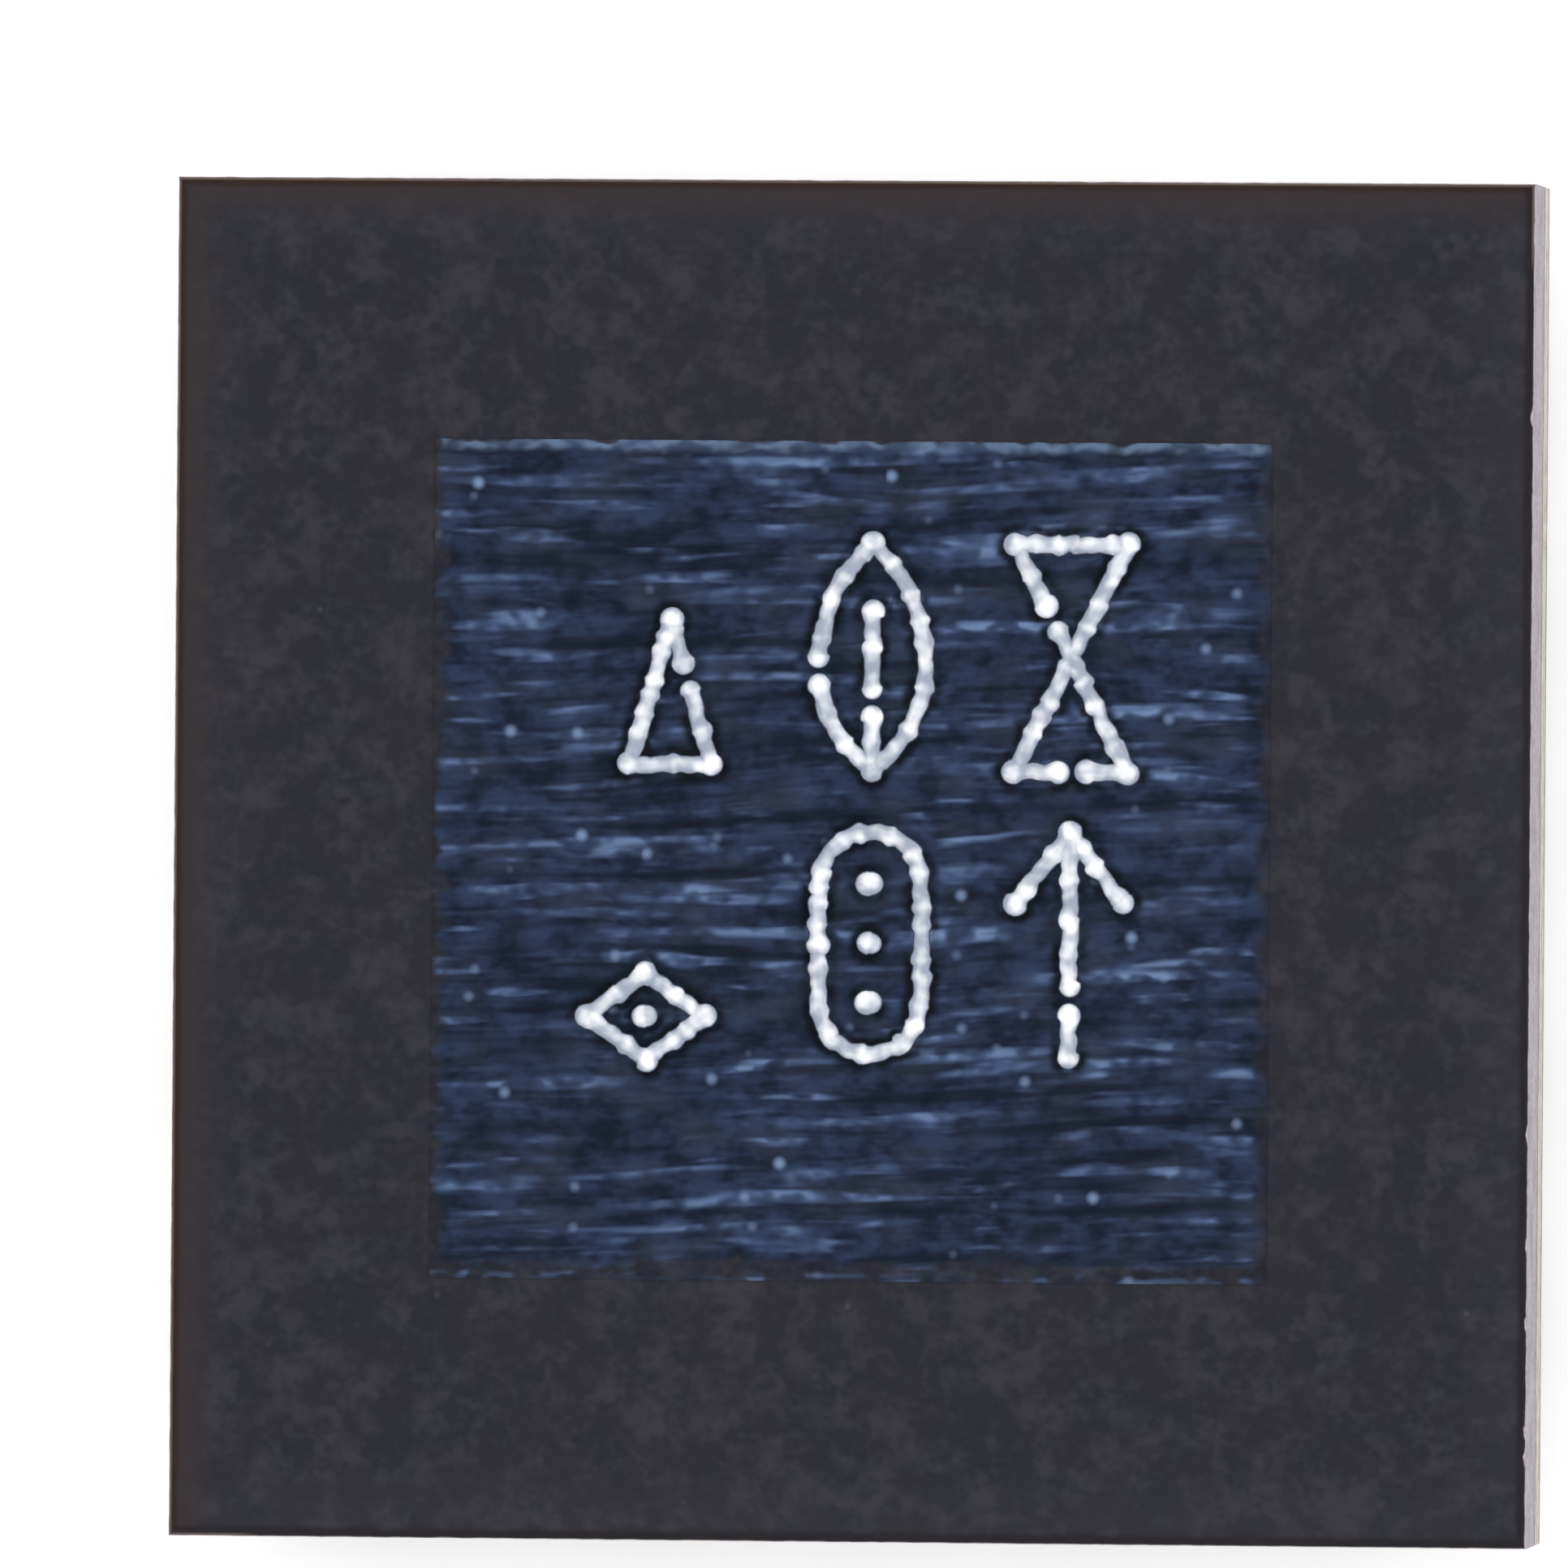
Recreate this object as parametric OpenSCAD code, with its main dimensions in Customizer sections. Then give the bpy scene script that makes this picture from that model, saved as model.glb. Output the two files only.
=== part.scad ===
// Moulded flip-chip ball grid array, 6 by 6 balls, with the back of the die bare on top.
// Millimetres, +Z up. The origin is the centre of the plane that the balls stand on.

/* [Ball grid] */
// Balls along each side of the grid
grid_n = 6; // [4:1:7]
// Distance between the centres of neighbouring balls
pitch = 0.5; // [0.46:0.01:0.8]
// Distance from the outer ball centres to the edge of the package
edge_margin = 0.25; // [0.22:0.01:0.5]
// Diameter of a solder ball after reflow
ball_d = 0.33; // [0.3:0.01:0.36]
// Diameter of the copper land that a ball is soldered to
land_d = 0.28; // [0.24:0.01:0.29]

/* [Substrate] */
// Thickness of the laminate core
core_t = 0.13; // [0.1:0.01:0.3]
// Thickness of each copper layer
copper_t = 0.018; // [0.012:0.001:0.024]
// Solder mask left over the copper
mask_over = 0.007; // [0.004:0.001:0.02]
// Clearance from a land to the solder mask around it
land_clear = 0.045; // [0.02:0.005:0.05]
// Diameter of a plated and filled via
via_d = 0.08; // [0.06:0.01:0.1]
// Distance that a via sits in from its ball, along X and along Y
via_inset = 0.095; // [0.08:0.005:0.11]
// Side of the square via pad that sticks out beside each ball
via_pad_w = 0.15; // [0.12:0.01:0.16]
// Radius of the corners of that pad
via_pad_r = 0.015; // [0.005:0.005:0.03]
// Clearance from that pad to the solder mask around it
via_pad_clear = 0.02; // [0.01:0.005:0.04]
// Diameter of the via pad under the die side
fan_pad_d = 0.12; // [0.11:0.01:0.13]
// Width of a fan-out trace
trace_w = 0.03; // [0.02:0.005:0.05]
// Length of the short sides of the triangle that marks ball A1
index_w = 0.09; // [0.06:0.01:0.12]
// Distance from that triangle to the edges of the package
index_edge = 0.015; // [0.01:0.005:0.03]

/* [Die] */
// Width of the mould around the die
mould_rim = 0.575; // [0.3:0.025:0.6]
// Radius of the corners of the die
die_corner_r = 0.01; // [0.005:0.005:0.05]
// Thickness of the die
die_t = 0.25; // [0.15:0.01:0.5]
// Height of the back of the die above the mould
die_proud = 0.002; // [0.001:0.001:0.02]
// Distance from the edge of the die to the outer bump centres
bump_inset = 0.12; // [0.08:0.01:0.15]
// Diameter of a copper pillar
pillar_d = 0.07; // [0.05:0.005:0.08]
// Height of a copper pillar
pillar_h = 0.035; // [0.02:0.005:0.06]
// Height of the solder cap that joins a pillar to its pad
cap_h = 0.027; // [0.02:0.001:0.04]
// Ledge of the bump pad around its solder cap
bump_pad_ledge = 0.012; // [0.005:0.001:0.02]

/* [Hidden] */
ROWS = "abcdefgh";
COPPER = "#b87850";
SOLDER = "#c9cbd0";
MASK = "#2a2523";

body_w = (grid_n - 1) * pitch + 2 * edge_margin;
die_w = body_w - 2 * mould_rim;
bump_pitch = (die_w - 2 * bump_inset) / (grid_n - 1);
bump_pad_d = pillar_d + 2 * bump_pad_ledge;
mask_t = copper_t + mask_over;

// Heights from the seating plane up
ball_z = ball_d / 2;
land_z = ball_z + sqrt(pow(ball_d / 2, 2) - pow(land_d / 2, 2));
core_z = land_z + copper_t;
core_top = core_z + core_t;
pad_top = core_top + copper_t;
mask_top = core_top + mask_t;
pillar_z = pad_top + cap_h;
die_z = pillar_z + pillar_h;
die_top = die_z + die_t;
mould_top = die_top - die_proud;

SITES = [for (row = [0 : grid_n - 1]) for (col = [0 : grid_n - 1]) [row, col]];

// Rows run down from +Y by letter, columns run along +X by number
function ball_name(site) = str("ball_", ROWS[site[0]], site[1] + 1);
function grid_place(index, step) = (index - (grid_n - 1) / 2) * step;
function ball_at(site) = [grid_place(site[1], pitch), -grid_place(site[0], pitch)];
function bump_at(site) = [grid_place(site[1], bump_pitch), -grid_place(site[0], bump_pitch)];
function via_at(site) = [for (reach = ball_at(site)) reach - sign(reach) * via_inset];

module at_balls() {
    for (site = SITES) translate(ball_at(site)) children();
}

module at_vias() {
    for (site = SITES) translate(via_at(site)) children();
}

module at_bumps() {
    for (site = SITES) translate(bump_at(site)) children();
}

module slab(thickness) {
    translate([0, 0, thickness / 2])
        cube([body_w, body_w, thickness], center = true);
}

// A straight track between two points, with square ends inside the pads that it joins
module track(from, to, width) {
    run = to - from;
    translate(from)
        rotate(atan2(run[1], run[0]))
            translate([0, -width / 2])
                square([norm(run), width]);
}

// Square with round corners, from two bars and four corner discs
module rounded_square(width, corner_r) {
    inner = width - 2 * corner_r;
    square([width, inner], center = true);
    square([inner, width], center = true);
    for (x = [-1, 1], y = [-1, 1])
        translate([x, y] * inner / 2)
            circle(r = corner_r, $fn = 32);
}

// Solder ball: a sphere cut flat where it wets its land
module solder_ball(site) {
    place = ball_at(site);
    color(SOLDER)
        intersection() {
            translate([place[0], place[1], ball_z])
                sphere(d = ball_d, $fn = 64);
            translate([place[0], place[1], land_z / 2])
                cube([ball_d * 2, ball_d * 2, land_z], center = true);
        }
}

// Round land with a square via pad growing out of it towards the middle of the package
module land_and_pad(site, land_grow, pad_grow) {
    translate(ball_at(site)) circle(d = land_d + 2 * land_grow, $fn = 48);
    translate(via_at(site)) rounded_square(via_pad_w + 2 * pad_grow, via_pad_r + pad_grow);
}

module bottom_copper() {
    color(COPPER)
        translate([0, 0, land_z])
            linear_extrude(copper_t)
                for (site = SITES) land_and_pad(site, 0, 0);
}

// Triangle in the corner beside ball A1
module index_triangle() {
    translate([index_edge - body_w / 2, body_w / 2 - index_edge])
        polygon([[0, 0], [index_w, 0], [0, -index_w]]);
}

module index_mark() {
    color(COPPER)
        translate([0, 0, land_z])
            linear_extrude(copper_t)
                index_triangle();
}

// Solder mask that stays clear of each land and its via pad, and is open over the triangle
module bottom_solder_mask() {
    color(MASK)
        translate([0, 0, core_z - mask_t])
            linear_extrude(mask_t)
                difference() {
                    square(body_w, center = true);
                    for (site = SITES) land_and_pad(site, land_clear, via_pad_clear);
                    index_triangle();
                }
}

module substrate_core() {
    color("#b59a78")
        translate([0, 0, core_z])
            difference() {
                slab(core_t);
                at_vias()
                    translate([0, 0, -core_t / 2])
                        cylinder(d = via_d, h = 2 * core_t, $fn = 32);
            }
}

module plated_vias() {
    color(COPPER)
        translate([0, 0, core_z])
            at_vias() cylinder(d = via_d, h = core_t, $fn = 32);
}

// Via pads, fan-out traces and bump pads, etched from one foil
module fan_out() {
    at_vias() circle(d = fan_pad_d, $fn = 32);
    at_bumps() circle(d = bump_pad_d, $fn = 32);
    for (site = SITES) track(via_at(site), bump_at(site), trace_w);
}

module top_copper() {
    color(COPPER)
        translate([0, 0, core_top])
            linear_extrude(copper_t)
                fan_out();
}

// Solder mask over the traces, open only where a solder cap comes through
module top_solder_mask() {
    color(MASK)
        difference() {
            translate([0, 0, core_top]) slab(mask_t);
            top_copper();
            solder_caps();
        }
}

module solder_caps() {
    color(SOLDER)
        translate([0, 0, pad_top])
            at_bumps() cylinder(d = pillar_d, h = cap_h, $fn = 32);
}

module copper_pillars() {
    color(COPPER)
        translate([0, 0, pillar_z])
            at_bumps() cylinder(d = pillar_d, h = pillar_h, $fn = 32);
}

module silicon_die() {
    color("#2b3d5c")
        translate([0, 0, die_z])
            linear_extrude(die_t)
                rounded_square(die_w, die_corner_r);
}

// Mould that fills under the die and around it, and leaves its back bare
module mould_compound() {
    color("#38363c")
        difference() {
            translate([0, 0, mask_top]) slab(mould_top - mask_top);
            silicon_die();
            at_bumps()
                translate([0, 0, mask_top])
                    cylinder(d = pillar_d, h = die_z - mask_top, $fn = 32);
        }
}

for (site = SITES)
    solder_ball(site);
mould_compound();
silicon_die();
copper_pillars();
solder_caps();
top_solder_mask();
top_copper();
substrate_core();
plated_vias();
bottom_copper();
bottom_solder_mask();
index_mark();
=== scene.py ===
import math
import random

import bmesh
import bpy
from mathutils import Matrix, Vector, kdtree, noise


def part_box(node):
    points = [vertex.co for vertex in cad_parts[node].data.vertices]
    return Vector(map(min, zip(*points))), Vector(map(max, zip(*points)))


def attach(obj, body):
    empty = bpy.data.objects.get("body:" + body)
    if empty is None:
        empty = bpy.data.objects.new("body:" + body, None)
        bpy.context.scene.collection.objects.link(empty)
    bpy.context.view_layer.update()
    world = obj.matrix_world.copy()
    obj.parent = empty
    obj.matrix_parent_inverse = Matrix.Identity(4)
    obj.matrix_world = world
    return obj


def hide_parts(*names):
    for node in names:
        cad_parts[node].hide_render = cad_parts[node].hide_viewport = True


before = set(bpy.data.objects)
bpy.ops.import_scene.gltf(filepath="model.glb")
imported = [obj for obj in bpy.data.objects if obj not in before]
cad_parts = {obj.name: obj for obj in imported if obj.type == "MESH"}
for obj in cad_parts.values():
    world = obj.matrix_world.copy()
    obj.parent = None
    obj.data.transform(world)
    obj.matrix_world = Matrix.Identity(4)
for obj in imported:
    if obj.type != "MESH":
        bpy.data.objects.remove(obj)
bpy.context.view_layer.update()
print("frame loaded,", len(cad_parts), "solids")

mm = 0.001  # pieces are shaped in millimetres and scaled down when they are done
dieCorner = 0.01  # radius of the die's corners and of the pocket round them


def boxOf(node):
    low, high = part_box(node)
    return low / mm, high / mm


def ink(code):
    # hex colour to the linear values that a socket takes
    parts = [int(code[i:i + 2], 16) / 255 for i in (0, 2, 4)]
    return [p / 12.92 if p <= 0.04045 else ((p + 0.055) / 1.055) ** 2.4 for p in parts] + [1]


class Wire:
    # a node's output socket that can stand in a sum
    def __init__(self, recipe, socket):
        self.recipe = recipe
        self.socket = socket

    def calc(self, operation, first, second=0.0):
        return self.recipe.node("Math", {"operation": operation}, {0: first, 1: second})

    def __add__(self, other):
        return self.calc("ADD", self, other)

    def __radd__(self, other):
        return self.calc("ADD", other, self)

    def __sub__(self, other):
        return self.calc("SUBTRACT", self, other)

    def __rsub__(self, other):
        return self.calc("SUBTRACT", other, self)

    def __mul__(self, other):
        return self.calc("MULTIPLY", self, other)

    def __rmul__(self, other):
        return self.calc("MULTIPLY", other, self)

    def __lt__(self, other):
        return self.calc("LESS_THAN", self, other)

    def __abs__(self):
        return self.calc("ABSOLUTE", self)

    def port(self, out):
        # another output of the same node
        return Wire(self.recipe, self.socket.node.outputs[out])

    def most(self, other):
        return self.calc("MAXIMUM", self, other)

    def least(self, other):
        return self.calc("MINIMUM", self, other)

    def sine(self):
        return self.calc("SINE", self)

    def fade(self, start, end, low=0.0, high=1.0):
        # soft step from low at start to high at end, start may be the larger one
        values = {"Value": self, "From Min": start, "From Max": end, "To Min": low, "To Max": high}
        return self.recipe.node("MapRange", {"interpolation_type": "SMOOTHSTEP"}, values)


class Recipe:
    # the nodes of one material, or of the world
    def __init__(self, owner):
        owner.use_nodes = True
        self.owner = owner
        self.tree = owner.node_tree
        self.tree.nodes.clear()

    def node(self, kind, settings=None, values=None, out=0):
        made = self.tree.nodes.new("ShaderNode" + kind)
        for name, setting in (settings or {}).items():
            setattr(made, name, setting)
        for name, value in (values or {}).items():
            if isinstance(value, Wire):
                self.tree.links.new(value.socket, made.inputs[name])
            else:
                made.inputs[name].default_value = value
        return Wire(self, made.outputs[out]) if made.outputs else made

    def place(self):
        # object coordinates in millimetres, as a vector and as three numbers
        spot = self.node("TexCoord", out=3)
        spot = self.node("VectorMath", {"operation": "SCALE"}, {0: spot, "Scale": 1 / mm})
        split = self.node("SeparateXYZ", values={0: spot})
        return spot, [split.port(i) for i in range(3)]

    def join(self, x, y, z=0.0):
        return self.node("CombineXYZ", values={0: x, 1: y, 2: z})

    def cloud(self, spot, scale, detail=2.0, rough=0.5):
        # soft noise from 0 to 1, scale in features per mm
        values = {"Vector": spot, "Scale": scale, "Detail": detail, "Roughness": rough}
        return self.node("TexNoise", values=values)

    def specks(self, spot, scale, size, share):
        # round dots in a share of the cells, scale in cells per mm, size in cells
        near = self.node("TexVoronoi", values={"Vector": spot, "Scale": scale, "Randomness": 0.9})
        luck = self.node("SeparateColor", values={0: near.port(1)})
        return near.fade(size, 0.0) * (luck < share)

    def blend(self, share, first, second):
        return self.node("Mix", {"data_type": "RGBA"}, {0: share, 6: first, 7: second}, out=2)

    def relief(self, height, depth, under=None):
        # bump, depth in mm
        values = {"Height": height, "Strength": 1.0, "Distance": depth * mm}
        if under:
            values["Normal"] = under
        return self.node("Bump", values=values)

    def finish(self, values):
        shader = self.node("BsdfPrincipled", values=values)
        self.node("OutputMaterial", values={"Surface": shader})
        return self.owner


def newRecipe(name):
    return Recipe(bpy.data.materials.new(name))


def wholeOf(bm):
    return list(bm.verts) + list(bm.edges) + list(bm.faces)


def closePiece(name, bm, materials, replaced=()):
    # merges, turns the faces outwards, scales to metres, links the piece under the root body and hides
    # any solids it replaces
    bmesh.ops.remove_doubles(bm, verts=bm.verts, dist=1e-5)
    bmesh.ops.recalc_face_normals(bm, faces=bm.faces)
    bmesh.ops.scale(bm, vec=(mm, mm, mm), verts=bm.verts)
    mesh = bpy.data.meshes.new(name)
    bm.to_mesh(mesh)
    bm.free()
    for material in materials:
        mesh.materials.append(material)
    piece = bpy.data.objects.new(name, mesh)
    bpy.context.collection.objects.link(piece)
    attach(piece, "root")
    if replaced:
        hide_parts(*replaced)
    return piece


# Mould compound round the die

mouldSet = {
    "cool": "25262f",
    "warm": "2a282f",
    "pale": "3c3b41",
    "deep": "1a1a22",
    "rim": "2b1d17",         # brown line along the back and left edges
    "rimGlow": "342c2c",     # lighter and warmer zone just inside it
    "rimDark": "1f1b1f",     # along the front and right edges
    "arrisTone": "6b5e56",
    "speck": "5c5b63",
    "patches": 13.0,         # features per mm
    "grains": 42.0,
    "mottling": 0.55,        # strength of the pale and the deep patches
    "roughness": 0.82,
    "specular": 0.16,
    "wallPale": "bab2bc",    # sawn sides, paler because the blade bares the glass filler
    "wallDark": "958e92",
    # painted shade of the small pits in the sawn sides
    "wallPitShade": "605a5e",
    "wallFiller": "dcd6de",
    "wallRoughness": 0.8,
    "arris": 0.006,          # slope that the saw leaves along the top edges, mm
    "band": 0.03,            # strip along the edges that carries the small chips
    "cuts": 240,             # along each edge
    "chips": 0.0008,         # depth of the small wear all round
    "nicks": 7,              # on the right and left edges only
    "nickWidth": (0.014, 0.028),
    "nickDepth": 0.005,
    "seed": 4,
}


def mouldTone(recipe, spot):
    # charcoal with blue-grey and brown mottling, also used where it smears over the die
    patch = recipe.cloud(spot, mouldSet["patches"], 2.0, 0.55)
    grain = recipe.cloud(spot, mouldSet["grains"], 1.0, 0.6)
    hue = recipe.cloud(spot, 9.0, 1.0)
    light = patch * 0.7 + grain * 0.3
    tone = recipe.blend(hue.fade(0.35, 0.65), ink(mouldSet["cool"]), ink(mouldSet["warm"]))
    mottling = mouldSet["mottling"]
    tone = recipe.blend(light.fade(0.45, 0.68, 0.0, mottling), tone, ink(mouldSet["pale"]))
    tone = recipe.blend(light.fade(0.55, 0.32, 0.0, mottling), tone, ink(mouldSet["deep"]))
    return tone, patch, grain


def mouldMaterial():
    recipe = newRecipe("mould compound")
    spot, (x, y, z) = recipe.place()
    low, high = boxOf("mould_compound")
    tone, patch, grain = mouldTone(recipe, spot)
    tone = recipe.blend(recipe.specks(spot, 11.0, 0.12, 0.12) * 0.3, tone, ink(mouldSet["speck"]))

    # lighter towards the edges, then darker lines along them and the pale arris itself
    stray = patch * 0.014 - 0.007
    edge = high.x - abs(x).most(abs(y))
    fromBrown = (x - low.x).least(high.y - y) + stray
    fromDark = (high.x - x).least(y - low.y) + stray
    tone = recipe.blend(edge.fade(0.22, 0.04, 0.0, 0.15), tone, ink(mouldSet["pale"]))
    tone = recipe.blend(fromBrown.fade(0.11, 0.02, 0.0, 0.75), tone, ink(mouldSet["rimGlow"]))
    tone = recipe.blend(fromBrown.fade(0.025, 0.012, 0.0, 0.85), tone, ink(mouldSet["rim"]))
    tone = recipe.blend(fromDark.fade(0.03, 0.013, 0.0, 0.85), tone, ink(mouldSet["rimDark"]))
    onArris = fromBrown.fade(0.2, 0.15) * edge.fade(0.009, 0.005)
    tone = recipe.blend(onArris * 0.75, tone, ink(mouldSet["arrisTone"]))
    nick = (high.z - z).fade(0.003, 0.006) * grain.fade(0.2, 0.6, 0.5, 1.0)
    tone = recipe.blend(nick * edge.fade(0.05, 0.04), tone, ink(mouldSet["wallPale"]))
    return recipe.finish({
        "Base Color": tone,
        "Roughness": patch.fade(0.3, 0.7, mouldSet["roughness"] - 0.08, mouldSet["roughness"] + 0.08),
        "Specular IOR Level": mouldSet["specular"],
        "Normal": recipe.relief(grain, 0.0012),
    })


def wallMaterial():
    # lines of the blade along the sides, with grains of filler and painted shade for pits
    recipe = newRecipe("sawn mould")
    spot, (x, y, z) = recipe.place()
    blade = recipe.cloud(recipe.join((x + y) * 5.0, z * 150.0, x - y), 1.0, 3.0, 0.6)
    filler = recipe.cloud(spot, 60.0, 2.0, 0.65)
    share = blade * 0.35 + filler * 0.4 + recipe.cloud(spot, 8.0, 2.0) * 0.25
    tone = recipe.blend(share.fade(0.4, 0.6), ink(mouldSet["wallDark"]), ink(mouldSet["wallPale"]))
    # dark specks are painted shade of pits
    tone = recipe.blend(recipe.specks(spot, 34.0, 0.3, 0.25) * 0.5, tone, ink(mouldSet["wallPitShade"]))
    tone = recipe.blend(recipe.specks(spot, 47.0, 0.3, 0.2) * 0.6, tone, ink(mouldSet["wallFiller"]))
    rough = mouldSet["wallRoughness"]
    return recipe.finish({
        "Base Color": tone,
        "Roughness": filler.fade(0.3, 0.7, rough - 0.08, rough + 0.1),
        "Specular IOR Level": 0.2,
        "Normal": recipe.relief(blade * 0.5 + filler * 0.5, 0.002),
    })


def buildMouldBlock():
    low, high = boxOf("mould_compound")
    dieLow = boxOf("silicon_die")[0]
    arris = mouldSet["arris"]
    band = mouldSet["band"]
    slack = 1e-4  # mm, when places are compared
    bm = bmesh.new()
    bmesh.ops.create_cube(bm, size=1.0)
    bmesh.ops.scale(bm, vec=high - low, verts=bm.verts)
    bmesh.ops.translate(bm, vec=(low + high) / 2, verts=bm.verts)
    top = max(bm.faces, key=lambda face: face.calc_center_median().z)
    bmesh.ops.translate(bm, vec=(0, 0, -arris), verts=top.verts)
    rim = dieLow.x - low.x
    for inset, rise in ((arris, arris), (band, 0.0), (rim - arris - band, 0.0)):
        bmesh.ops.inset_individual(bm, faces=[top], thickness=inset, depth=rise, use_even_offset=True)
    pocket = bmesh.ops.extrude_discrete_faces(bm, faces=[top])["faces"][0]
    bmesh.ops.translate(bm, vec=(0, 0, dieLow.z - high.z), verts=pocket.verts)

    floorVerts = set(pocket.verts)
    corners = [e for v in floorVerts for e in v.link_edges if e.other_vert(v) not in floorVerts]
    bmesh.ops.bevel(bm, geom=corners, offset=dieCorner, offset_type="OFFSET", segments=5,
                    profile=0.5, affect="EDGES", material=-1)

    bmesh.ops.bisect_plane(bm, geom=wholeOf(bm), plane_co=(0, 0, high.z - band), plane_no=(0, 0, 1))

    def onLoop(edge):
        # the loops that run round the outside
        middle = (edge.verts[0].co + edge.verts[1].co) / 2
        flat = abs(edge.verts[0].co.z - edge.verts[1].co.z) < 1e-6
        reach = max(abs(middle.x), abs(middle.y))
        return flat and edge.calc_length() > 1.0 and reach > high.x - arris - band - slack

    loops = [e for e in bm.edges if onLoop(e)]
    bmesh.ops.subdivide_edges(bm, edges=loops, cuts=mouldSet["cuts"], use_grid_fill=True)

    rng = random.Random(mouldSet["seed"])
    nicks = []
    for i in range(mouldSet["nicks"]):
        side = rng.choice((1, 1, 1, -1))
        place = Vector((side * high.x, rng.uniform(low.x, high.x)))
        width = rng.uniform(*mouldSet["nickWidth"])
        nicks.append((place, width, rng.uniform(0.5, 1.0) * mouldSet["nickDepth"]))
    for vert in bm.verts:
        reach = max(abs(vert.co.x), abs(vert.co.y))
        if vert.co.z < high.z - arris - slack or reach < high.x - arris - slack:
            continue
        flat = vert.co.xy
        worn = mouldSet["chips"] * (0.5 + noise.noise(Vector((flat.x * 22, flat.y * 22, reach * 40))))
        for place, width, depth in nicks:
            near = 1 - (flat - place).length / width
            worn = max(worn, depth * near)
        worn = max(worn, 0)
        if abs(flat.x) > abs(flat.y):
            vert.co.x -= math.copysign(worn, flat.x)
        else:
            vert.co.y -= math.copysign(worn, flat.y)
        vert.co.z -= worn * 0.6
    bm.normal_update()
    for face in bm.faces:
        middle = face.calc_center_median()
        outside = max(abs(middle.x), abs(middle.y)) > high.x - 0.02
        face.material_index = int(outside and middle.z < high.z - arris - slack)
    return closePiece("mouldBlock", bm, [mouldMaterial(), wallMaterial()], ["mould_compound"])


buildMouldBlock()
print("mould block made")


# Laser marks: plain figures burnt into the silicon, where the real part has its code

markSet = {
    "radius": 0.0198,    # half the width of a stroke, mm
    "waver": 0.0034,     # by which it grows and shrinks along the way
    "bead": 0.0055,      # added at a bead
    "beadLength": 0.011,
    "beadStep": (0.03, 0.10),
    "end": 0.004,        # added at both ends of a stroke
    "endLength": 0.014,
    "wander": 0.0042,    # sideways slips
    "breaks": 0.5,       # share of the long strokes that are broken once
    "longStroke": 0.25,
    "gap": 10,           # steps left out at a break
    "step": 0.006,
    "height": 0.007,
    "sink": 0.0005,      # by which the middle of a stroke lies below the silicon's face
    # bright, dull and rim: painted highlight on top of a stroke, painted shade on its flanks and darker
    # painted shade at its foot
    "bright": "fbfcff",
    "dull": "9aa3b6",
    "rim": "3a4152",
    "seed": 11,
    # strokes from the middle of the die, mm, each a row of corners
    "figures": {
        "triangle": [[(-0.49, 0.21), (-0.31, 0.21)], [(-0.31, 0.21), (-0.40, 0.53)],
                     [(-0.40, 0.53), (-0.49, 0.21)]],
        "leaf": [
            [(0.045, 0.70), (-0.03, 0.62), (-0.07, 0.50), (-0.075, 0.38), (-0.03, 0.27), (0.045, 0.20)],
            [(0.045, 0.70), (0.12, 0.62), (0.16, 0.50), (0.165, 0.38), (0.12, 0.27), (0.045, 0.20)],
            [(0.045, 0.55), (0.045, 0.20)],
        ],
        "hourglass": [[(0.36, 0.70), (0.61, 0.70)], [(0.61, 0.70), (0.36, 0.20)],
                      [(0.36, 0.20), (0.61, 0.20)], [(0.61, 0.20), (0.36, 0.70)]],
        "diamond": [[(-0.45, -0.25), (-0.32, -0.345)], [(-0.32, -0.345), (-0.45, -0.44)],
                    [(-0.45, -0.44), (-0.58, -0.345)], [(-0.58, -0.345), (-0.45, -0.25)],
                    [(-0.455, -0.345), (-0.445, -0.345)]],
        "capsule": [
            [(-0.07, -0.18), (-0.07, -0.02), (-0.03, 0.045), (0.045, 0.07), (0.12, 0.045),
             (0.16, -0.02), (0.16, -0.34), (0.12, -0.405), (0.045, -0.43), (-0.03, -0.405),
             (-0.07, -0.34), (-0.07, -0.18)],
            [(0.04, -0.05), (0.05, -0.05)],
            [(0.04, -0.18), (0.05, -0.18)],
            [(0.04, -0.31), (0.05, -0.31)],
        ],
        "arrow": [[(0.485, 0.065), (0.485, -0.43)], [(0.365, -0.09), (0.485, 0.065)],
                  [(0.485, 0.065), (0.605, -0.09)]],
    },
}


def smoothPath(corners, step):
    # places along a line whose inner corners are rounded, a step apart
    line = [Vector(c) for c in corners]
    for again in range(2 if len(line) > 2 else 0):
        cut = [a.lerp(b, share) for a, b in zip(line, line[1:]) for share in (0.25, 0.75)]
        line = [line[0]] + cut[1:-1] + [line[-1]]
    places = []
    left = 0.0
    for a, b in zip(line, line[1:]):
        while left <= (b - a).length:
            places.append(a + (b - a).normalized() * left)
            left += step
        left -= (b - a).length
    return places


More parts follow.
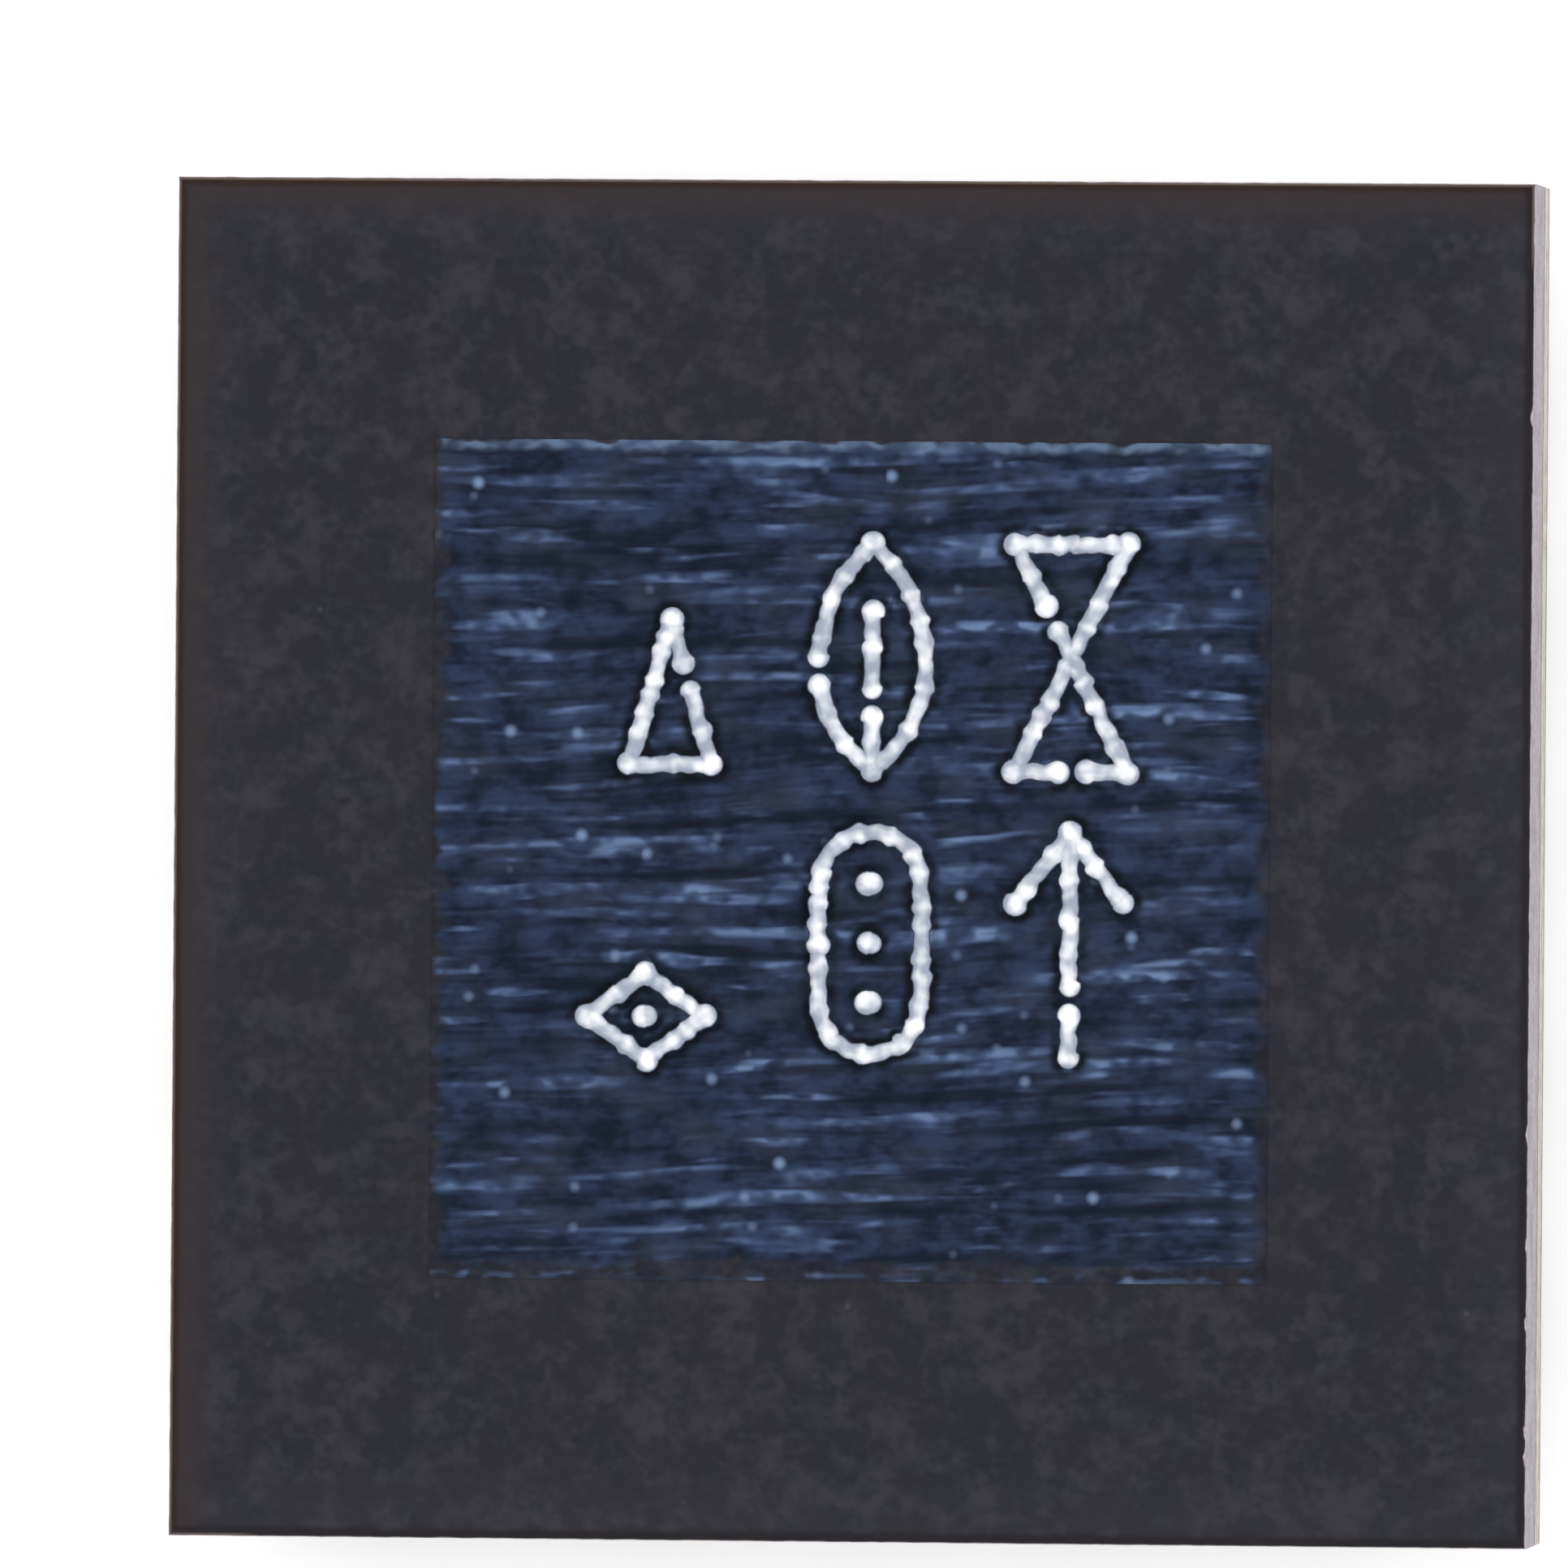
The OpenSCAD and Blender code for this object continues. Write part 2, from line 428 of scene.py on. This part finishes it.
def burnStrokes():
    # every stroke as a row of places with the radius that the laser left there
    rng = random.Random(markSet["seed"])
    noise.seed_set(markSet["seed"])  # noise_vector goes by the clock without it
    dieLow, dieHigh = boxOf("silicon_die")
    centre = ((dieLow + dieHigh) / 2).xy
    step = markSet["step"]
    rows = []
    for corners in sum(markSet["figures"].values(), []):
        places = smoothPath(corners, step)
        if len(places) * step > markSet["longStroke"] and rng.random() < markSet["breaks"]:
            cut = int(len(places) * rng.uniform(0.3, 0.7))
            rows += [places[:cut], places[cut + markSet["gap"]:]]
        else:
            rows.append(places)
    strokes = []
    for row, places in enumerate(rows):
        length = len(places) * step
        beads = [0.0, length]
        while beads[-2] + markSet["beadStep"][1] < length:
            beads.insert(-1, beads[-2] + rng.uniform(*markSet["beadStep"]))
        stroke = []
        for i, place in enumerate(places):
            run = i * step
            near = min(abs(run - bead) for bead in beads)
            waver, slipX, slipY = noise.noise_vector(Vector((place.x * 40, place.y * 40, row)))
            grown = markSet["bead"] * math.exp(-(near / markSet["beadLength"]) ** 2)
            grown += markSet["waver"] * waver
            grown += markSet["end"] * math.exp(-(min(run, length - run) / markSet["endLength"]) ** 2)
            place = centre + place + Vector((slipX, slipY)) * markSet["wander"]
            stroke.append((place, markSet["radius"] + grown))
        strokes.append(stroke)
    return strokes


def markMaterial():
    recipe = newRecipe("laser burnt silicon")
    spot, (x, y, z) = recipe.place()
    high = boxOf("silicon_die")[1]
    frost = recipe.cloud(spot, 80.0, 2.0, 0.65)
    lumps = recipe.cloud(spot, 24.0, 1.0, 0.5)
    crown = (z - high.z) * (1 / markSet["height"])  # 0 at the silicon, 1 on top of a stroke
    # painted highlight and shade: brightest on top of a stroke and greyer down its flanks, broken up by
    # random lumps, then dark at its foot
    share = (crown + lumps * 1.4 - 0.7).fade(0.25, 1.0)
    tone = recipe.blend(share, ink(markSet["dull"]), ink(markSet["bright"]))
    tone = recipe.blend((crown + frost * 0.3).fade(0.62, 0.2, 0.0, 0.95), tone, ink(markSet["rim"]))
    return recipe.finish({
        "Base Color": tone,
        "Roughness": frost.fade(0.3, 0.7, 0.4, 0.6),
        "Specular IOR Level": 0.3,
        "Normal": recipe.relief(frost, 0.0012),
    })


def buildLaserMarks(strokes):
    top = boxOf("silicon_die")[1].z
    path = bpy.data.curves.new("strokes", "CURVE")
    path.dimensions = "3D"
    path.bevel_depth = 1.0
    path.bevel_resolution = 3
    path.use_fill_caps = True
    for stroke in strokes:
        # round ends: the width closes over the last stretch beyond the stroke
        (first, width), (last, lastWidth) = stroke[0], stroke[-1]
        back = (first - stroke[1][0]).normalized()
        ahead = (last - stroke[-2][0]).normalized()
        turns = [math.radians(a) for a in (18, 36, 54, 72, 88)]
        knots = [(first + back * width * math.sin(t), width * math.cos(t)) for t in reversed(turns)]
        knots += stroke
        knots += [(last + ahead * lastWidth * math.sin(t), lastWidth * math.cos(t)) for t in turns]
        spline = path.splines.new("POLY")
        spline.points.add(len(knots) - 1)
        for point, (place, radius) in zip(spline.points, knots):
            point.co = (place.x, place.y, 0, 1)
            point.radius = radius
    sketch = bpy.data.objects.new("strokes", path)
    bm = bmesh.new()
    bm.from_mesh(bpy.data.meshes.new_from_object(sketch))
    bpy.data.objects.remove(sketch)
    flatten = markSet["height"] / (markSet["radius"] + markSet["bead"] + markSet["end"])
    bmesh.ops.scale(bm, vec=(1, 1, flatten), verts=bm.verts)
    bmesh.ops.translate(bm, vec=(0, 0, top - markSet["sink"]), verts=bm.verts)
    for face in bm.faces:
        face.smooth = True
    return closePiece("laserMarks", bm, [markMaterial()])


strokes = burnStrokes()
buildLaserMarks(strokes)
print("laser marks made,", len(strokes), "strokes")


# Silicon die with its ground back bare

dieSet = {
    "dark": "0f1726",
    "light": "253148",
    "grey": "2b303b",
    "shade": "0a101c",      # painted shade in the troughs between the streaks
    # painted sheen along the grinding streaks, and painted glints on it
    "streakSheen": "405170",
    "glint": "5e7192",
    "spot": "6d82a2",
    "edgeLine": "586b84",
    "scorch": "06080d",
    "metallic": 0.5,
    "roughness": 0.42,
    "rise": 0.03,       # how far the grinding marks climb to the right, mm per mm
    # families of streaks: features per mm along and across, shift, strength
    "streaks": ((1.2, 19.0, 11.0, 1.0), (3.4, 25.0, 23.0, 0.8)),
    # distance from each edge where the smeared mould ends and where it is whole, mm
    "smearFront": (0.08, 0.052),
    "smearRight": (0.075, 0.035),
    "smearLeft": (0.085, 0.048),
    "smearBack": (0.032, 0.02),
    "cells": 240,        # along each side of the mesh
    "groove": 0.0005,    # depth of the grinding marks
    "haloFull": 0.008,   # dark ring round each stroke, and where it has faded away
    "haloEnd": 0.023,
}


def dieMaterial():
    recipe = newRecipe("ground silicon")
    spot, (x, y, z) = recipe.place()
    low, high = boxOf("silicon_die")
    lane = y - x * dieSet["rise"] + recipe.cloud(recipe.join(x * 1.2, y * 1.8), 1.0, 1.0) * 0.06

    def lanes(reach, pitch, shift=0.0, detail=2.0):
        # drawn out along the grinding, reach and pitch in features per mm along and across it
        return recipe.cloud(recipe.join(x * reach + shift, lane * pitch), 1.0, detail, 0.6)

    # an even ground with low, soft mottling
    blotch = lanes(14.0, 18.0)
    wide = lanes(2.2, 13.0, 7.0)
    fine = lanes(22.0, 60.0, 1.0, 1.0)
    ground = blotch * 0.6 + wide * 0.25 + fine * 0.15
    colour = recipe.blend(ground.fade(0.36, 0.64), ink(dieSet["dark"]), ink(dieSet["light"]))
    grey = lanes(5.0, 9.0, 3.0, 1.0).fade(0.45, 0.7, 0.0, 0.4)
    colour = recipe.blend(grey, colour, ink(dieSet["grey"]))

    # grinding streaks as painted light and shade: painted shade in the troughs, a painted sheen along the
    # ridges and painted glints on the beads; beaded, thinner on the ground in places and dying out at the
    # right edge
    beads = lanes(15.0, 21.0, 5.0, 1.0)
    inside = (high.x - x + beads * 0.04).fade(0.03, 0.08)
    busy = recipe.cloud(recipe.join(x * 1.1 + 4.0, y * 2.2), 1.0, 1.0).fade(0.38, 0.56, 0.6, 1.0)
    for reach, pitch, shift, share in dieSet["streaks"]:
        line = lanes(reach, pitch, shift, 1.5)
        colour = recipe.blend(line.fade(0.46, 0.3, 0.0, share * 0.8) * busy, colour, ink(dieSet["shade"]))
        bright = line.fade(0.54, 0.7) * beads.fade(0.34, 0.6, 0.2, 1.0) * inside * busy
        colour = recipe.blend(bright * share, colour, ink(dieSet["streakSheen"]))
        glint = line.fade(0.6, 0.76) * beads.fade(0.48, 0.64) * inside
        colour = recipe.blend(glint * share, colour, ink(dieSet["glint"]))
    # stray pits that catch the light
    sparkle = recipe.specks(recipe.join(x, y), 13.0, 0.26, 0.3)
    colour = recipe.blend(sparkle * 0.85, colour, ink(dieSet["spot"]))

    # pale broken line along the back edge
    backLine = (high.y - y + (blotch - 0.5) * 0.04).fade(0.03, 0.008)
    colour = recipe.blend(backLine * beads.fade(0.38, 0.6, 0.25, 0.85), colour, ink(dieSet["edgeLine"]))

    # mould smeared over the edges, most at the front, where the last of the silicon shows as islands
    mould = mouldTone(recipe, spot)[0]
    fromFront = y - low.y
    cover = (fromFront + blotch * 0.06).fade(*dieSet["smearFront"])
    cover = cover.most((high.x - x + wide * 0.08).fade(*dieSet["smearRight"]))
    cover = cover.most((x - low.x + blotch * 0.1).fade(*dieSet["smearLeft"]))
    cover = cover.most((high.y - y + blotch * 0.05).fade(*dieSet["smearBack"]))
    cover = cover * (1 - fromFront.fade(0.026, 0.01) * beads.fade(0.46, 0.6, 0.0, 0.6)) * 0.92
    colour = recipe.blend(cover, colour, mould)

    # sooty ring round the laser strokes, stronger in some places
    scorch = recipe.node("Attribute", {"attribute_name": "scorch"}, out=2)
    soot = recipe.cloud(spot, 13.0, 2.0, 0.6).fade(0.36, 0.58, 0.3, 1.0)
    colour = recipe.blend(scorch * soot, colour, ink(dieSet["scorch"]))
    rough = wide.fade(0.3, 0.7, dieSet["roughness"] - 0.1, dieSet["roughness"] + 0.12)
    return recipe.finish({
        "Base Color": colour,
        "Metallic": (1 - cover) * dieSet["metallic"],
        "Roughness": rough.most(cover * 0.8),
        "Specular IOR Level": 0.06,
        "Normal": recipe.relief(fine, 0.001),
    })


def buildGroundSilicon(strokes):
    low, high = boxOf("silicon_die")
    half = (high.x - low.x) / 2
    corner = dieCorner
    bm = bmesh.new()
    bmesh.ops.create_grid(bm, x_segments=dieSet["cells"], y_segments=dieSet["cells"], size=half)
    burns = sum(strokes, [])
    tree = kdtree.KDTree(len(burns))
    for i, (place, radius) in enumerate(burns):
        tree.insert((place.x, place.y, 0), i)
    tree.balance()
    scorchLayer = bm.verts.layers.float.new("scorch")
    haloFull = dieSet["haloFull"]
    haloFade = dieSet["haloEnd"] - haloFull
    for vert in bm.verts:
        u = (abs(vert.co.x) - half + corner) / corner
        v = (abs(vert.co.y) - half + corner) / corner
        if u > 0 and v > 0:
            # the corner's square is drawn in to a quarter disc
            vert.co.x = math.copysign(half - corner + corner * u * math.sqrt(1 - v * v / 2), vert.co.x)
            vert.co.y = math.copysign(half - corner + corner * v * math.sqrt(1 - u * u / 2), vert.co.y)
        near, index, distance = tree.find(vert.co)
        beyond = (distance - burns[index][1] - haloFull) / haloFade
        vert[scorchLayer] = max(0.0, min(1.0, 1.0 - beyond)) * 0.94
        if max(u, v) < 0.9:
            ridge = noise.noise(Vector((vert.co.x * 3, vert.co.y * 45, 0)))
            vert.co.z -= dieSet["groove"] * (0.5 + 0.5 * ridge)
    bmesh.ops.translate(bm, vec=(0, 0, high.z), verts=bm.verts)
    rim = [e for e in bm.edges if e.is_boundary]
    grown = bmesh.ops.extrude_edge_only(bm, edges=rim)["geom"]
    lower = [g for g in grown if isinstance(g, bmesh.types.BMVert)]
    lowerRim = [g for g in grown if isinstance(g, bmesh.types.BMEdge) and g.is_boundary]
    for vert in lower:
        vert.co.z = low.z
        vert[scorchLayer] = 0
    bmesh.ops.edgeloop_fill(bm, edges=lowerRim)
    return closePiece("groundSilicon", bm, [dieMaterial()], ["silicon_die"])


buildGroundSilicon(strokes)
print("die made")


# Solder balls

ballSet = {
    "bright": "c8c5c1",
    "dull": "7c7977",
    "warm": "a88a75",
    "roughness": 0.2,
    "foot": 0.06,        # height below the land over which the ball is tinted warmer, mm
    "patches": 6.0,      # features per mm
    "crystals": 34.0,
    "grains": 90.0,
    "ripple": 0.006,     # shallow dents
    "around": 48,        # faces round a ball and from pole to pole
    "rings": 32,
}


def ballMaterial():
    recipe = newRecipe("reflowed solder")
    spot, (x, y, z) = recipe.place()
    patch = recipe.cloud(spot, ballSet["patches"], 3.0, 0.55)
    crystal = recipe.node("TexVoronoi", values={"Vector": spot, "Scale": ballSet["crystals"]})
    grain = recipe.cloud(spot, ballSet["grains"], 2.0, 0.6)
    dull = patch.fade(0.42, 0.66)
    colour = recipe.blend(dull * 0.6, ink(ballSet["bright"]), ink(ballSet["dull"]))
    land = boxOf("ball_a1")[1].z
    nearLand = z.fade(land - ballSet["foot"], land, 0.0, 0.6)
    colour = recipe.blend(nearLand, colour, ink(ballSet["warm"]))
    bump = recipe.relief(grain, 0.0006)
    bump = recipe.relief(crystal, 0.0012, bump)
    return recipe.finish({
        "Base Color": colour,
        "Metallic": 1.0,
        "Roughness": dull * 0.22 + grain * 0.08 + (ballSet["roughness"] - 0.04),
        "Normal": bump,
    })


def buildBall(node, material):
    low, high = boxOf(node)
    centre = (low + high) / 2
    radius = (high.x - low.x) / 2
    centre.z = low.z + radius
    bm = bmesh.new()
    around = ballSet["around"]
    bmesh.ops.create_uvsphere(bm, u_segments=around, v_segments=ballSet["rings"], radius=radius)
    for vert in bm.verts:
        dent = max(0, noise.noise((vert.co + centre * 3) * 9))
        vert.co -= vert.co.normalized() * dent * ballSet["ripple"]
    bmesh.ops.translate(bm, vec=centre, verts=bm.verts)
    # cut flat where it wets its land
    cut = bmesh.ops.bisect_plane(bm, geom=wholeOf(bm), plane_co=(0, 0, high.z), plane_no=(0, 0, 1),
                                 clear_outer=True)
    rim = [g for g in cut["geom_cut"] if isinstance(g, bmesh.types.BMEdge)]
    bmesh.ops.edgeloop_fill(bm, edges=rim)
    for face in bm.faces:
        face.smooth = face.normal.z < 0.99 or len(face.verts) < 8
    row, column = node[-2], node[-1]
    return closePiece("solderBall." + row.upper() + column, bm, [material], [node])


solderMaterial = ballMaterial()
balls = sorted(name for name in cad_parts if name.startswith("ball_"))
for name in balls:
    buildBall(name, solderMaterial)
print("balls made,", len(balls))


# Finishes of the solids that keep their own shape

copperSet = {
    "bright": "d8a685",
    "brown": "9a6a4c",
    "pale": "e6c4a8",
    "mark": "6b625a",       # the index triangle, which the air has dulled
    "metallic": 0.9,
    "roughness": 0.36,
}


def copperMaterial(name, tone, share):
    recipe = newRecipe(name)
    spot = recipe.place()[0]
    patch = recipe.cloud(spot, 16.0, 4.0, 0.6)
    grain = recipe.cloud(spot, 120.0, 2.0, 0.6)
    colour = recipe.blend(patch.fade(0.38, 0.62), ink(tone), ink(copperSet["brown"]))
    colour = recipe.blend(grain.fade(0.52, 0.7, 0.0, share), colour, ink(copperSet["pale"]))
    return recipe.finish({
        "Base Color": colour,
        "Metallic": copperSet["metallic"],
        "Roughness": patch.fade(0.3, 0.7, copperSet["roughness"] - 0.1, copperSet["roughness"] + 0.15),
        "Normal": recipe.relief(grain + patch, 0.001),
    })


maskSet = {
    "body": "2b2624",
    "speck": "4a4039",
    "deep": "191615",
    "cut": "4b4440",        # sawn edge
    "roughness": 0.4,
}


def maskMaterial():
    recipe = newRecipe("solder mask")
    spot, (x, y, z) = recipe.place()
    high = boxOf("bottom_solder_mask")[1]
    broad = recipe.cloud(spot, 5.0, 4.0, 0.6)
    grain = recipe.cloud(spot, 75.0, 3.0, 0.65)
    colour = recipe.blend(broad.fade(0.35, 0.65), ink(maskSet["body"]), ink(maskSet["deep"]))
    colour = recipe.blend(grain.fade(0.54, 0.68, 0.0, 0.7), colour, ink(maskSet["speck"]))
    edge = high.x - abs(x).most(abs(y))
    colour = recipe.blend(edge.fade(0.004, 0.001), colour, ink(maskSet["cut"]))
    return recipe.finish({
        "Base Color": colour,
        "Roughness": grain.fade(0.3, 0.7, maskSet["roughness"] - 0.08, maskSet["roughness"] + 0.16),
        "Specular IOR Level": 0.35,
        "Normal": recipe.relief(grain * 0.5 + broad * 0.5, 0.0014),
    })


coreSet = {
    "resin": "c1b8ae",
    "glass": "e1dbd4",
    "shade": "a79c91",
    "roughness": 0.62,
    "waves": 13.0,          # of the glass bundles, radians per mm
    "swing": 0.012,         # mm up and down
    "plies": (0.03, -0.028),
}


def coreMaterial():
    recipe = newRecipe("glass laminate")
    spot, (x, y, z) = recipe.place()
    low, high = boxOf("substrate_core")
    along = x + y
    level = z - (low.z + high.z) / 2

    # bundles of glass in two plies, some seen end on and some running along the edge
    drift = recipe.cloud(recipe.join(along * 2.0, level * 4.0), 1.0, 2.0)
    swing = (along * coreSet["waves"] + drift * 5.0).sine() * coreSet["swing"]
    upper = abs(level - swing - coreSet["plies"][0])
    lower = abs(level + swing - coreSet["plies"][1])
    bundle = upper.least(lower).fade(0.02, 0.008) * drift.fade(0.35, 0.5, 0.45, 1.0)
    ends = recipe.cloud(spot, 150.0, 2.0, 0.7)
    dust = recipe.cloud(spot, 22.0, 3.0, 0.6)
    colour = recipe.blend(dust.fade(0.35, 0.65), ink(coreSet["resin"]), ink(coreSet["shade"]))
    colour = recipe.blend(bundle * ends.fade(0.3, 0.62, 0.15, 0.8), colour, ink(coreSet["glass"]))
    return recipe.finish({
        "Base Color": colour,
        "Roughness": dust.fade(0.3, 0.7, coreSet["roughness"] - 0.1, coreSet["roughness"] + 0.15),
        "Specular IOR Level": 0.3,
        "Normal": recipe.relief(ends * bundle + dust, 0.0025),
    })


landCopper = copperMaterial("land copper", copperSet["bright"], 0.5)
innerCopper = copperMaterial("inner copper", copperSet["bright"], 0.3)
darkMask = maskMaterial()
finishes = {
    "bottom_copper": landCopper,
    "index_mark": copperMaterial("dulled copper", copperSet["mark"], 0.15),
    "top_copper": innerCopper,
    "plated_vias": innerCopper,
    "copper_pillars": innerCopper,
    "solder_caps": solderMaterial,
    "bottom_solder_mask": darkMask,
    "top_solder_mask": darkMask,
    "substrate_core": coreMaterial(),
}
for name, material in finishes.items():
    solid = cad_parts[name]
    solid.data.materials.clear()
    solid.data.materials.append(material)
print("finishes set")


# Table, light and camera

stageSet = {
    "table": "f2f2f2",
    "skyForLight": 0.55,
    "skyShown": 1.0,
    "glow": 0.37,        # added to the table where the camera sees it
    "sheetSize": 600.0,
}


def buildTable():
    recipe = newRecipe("white table")
    spot = recipe.place()[0]
    dust = recipe.cloud(spot, 0.4, 3.0)
    colour = recipe.blend(dust.fade(0.3, 0.7, 0.0, 0.03), ink(stageSet["table"]), ink("e4e4e4"))
    path = recipe.node("LightPath")
    shown = path.most(path.port("Is Glossy Ray")).most(path.port("Is Transmission Ray"))
    plain = recipe.node("BsdfDiffuse", values={"Color": colour})
    glow = recipe.node("Emission", values={"Color": ink("ffffff"), "Strength": shown * stageSet["glow"]})
    both = recipe.node("AddShader", values={0: plain, 1: glow})
    recipe.node("OutputMaterial", values={"Surface": both})
    bm = bmesh.new()
    bmesh.ops.create_grid(bm, x_segments=2, y_segments=2, size=stageSet["sheetSize"] / 2)
    bmesh.ops.scale(bm, vec=(mm, mm, mm), verts=bm.verts)
    mesh = bpy.data.meshes.new("table")
    bm.to_mesh(mesh)
    bm.free()
    mesh.materials.append(recipe.owner)
    table = bpy.data.objects.new("table", mesh)
    bpy.context.collection.objects.link(table)


def setSky():
    recipe = Recipe(bpy.data.worlds.new("studio"))
    bpy.context.scene.world = recipe.owner
    path = recipe.node("LightPath")
    shown = path.most(path.port("Is Glossy Ray")).most(path.port("Is Transmission Ray"))
    strength = shown * (stageSet["skyShown"] - stageSet["skyForLight"]) + stageSet["skyForLight"]
    sky = recipe.node("Background", values={"Color": ink("ffffff"), "Strength": strength})
    recipe.node("OutputWorld", values={"Surface": sky})


lamps = {
    # side of the square in mm, azimuth from +X, elevation, distance in mm, brightness of its surface
    "overhead": (150.0, 120.0, 78.0, 100.0, 1.1),
    "rightSide": (90.0, 0.0, 20.0, 110.0, 1.6),
}


def hangLamps():
    for name, (side, azimuth, elevation, distance, glow) in lamps.items():
        light = bpy.data.lights.new(name, "AREA")
        light.size = side * mm
        light.energy = glow * math.pi * (side * mm) ** 2
        lamp = bpy.data.objects.new(name, light)
        turn = math.radians(azimuth)
        lift = math.radians(elevation)
        way = Vector((math.cos(turn) * math.cos(lift), math.sin(turn) * math.cos(lift), math.sin(lift)))
        lamp.location = way * distance * mm
        lamp.rotation_euler = (-way).to_track_quat("-Z", "Y").to_euler()
        bpy.context.collection.objects.link(lamp)


cameraSet = {
    "distance": 59.85,
    "lens": 624.0,
    "lean": 5.3,         # degrees towards +X
    "roll": 0.44,
    "aim": (-0.148, 0.169),
}


def setCamera():
    high = boxOf("mould_compound")[1]
    target = Vector((cameraSet["aim"][0], cameraSet["aim"][1], high.z))
    lean = math.radians(cameraSet["lean"])
    back = Vector((math.sin(lean), 0, math.cos(lean)))
    data = bpy.data.cameras.new("camera")
    data.lens = cameraSet["lens"]
    data.sensor_width = 36.0
    data.clip_start = 0.001
    data.clip_end = 2.0
    camera = bpy.data.objects.new("camera", data)
    camera.location = (target + back * cameraSet["distance"]) * mm
    right = Vector((0, 1, 0)).cross(back).normalized()
    turn = Matrix((right, back.cross(right), back)).transposed()
    turn = turn @ Matrix.Rotation(math.radians(cameraSet["roll"]), 3, "Z")
    camera.rotation_euler = turn.to_euler()
    bpy.context.collection.objects.link(camera)
    bpy.context.scene.camera = camera


buildTable()
setSky()
hangLamps()
setCamera()
bpy.context.scene.view_settings.view_transform = "Standard"
print("studio set")
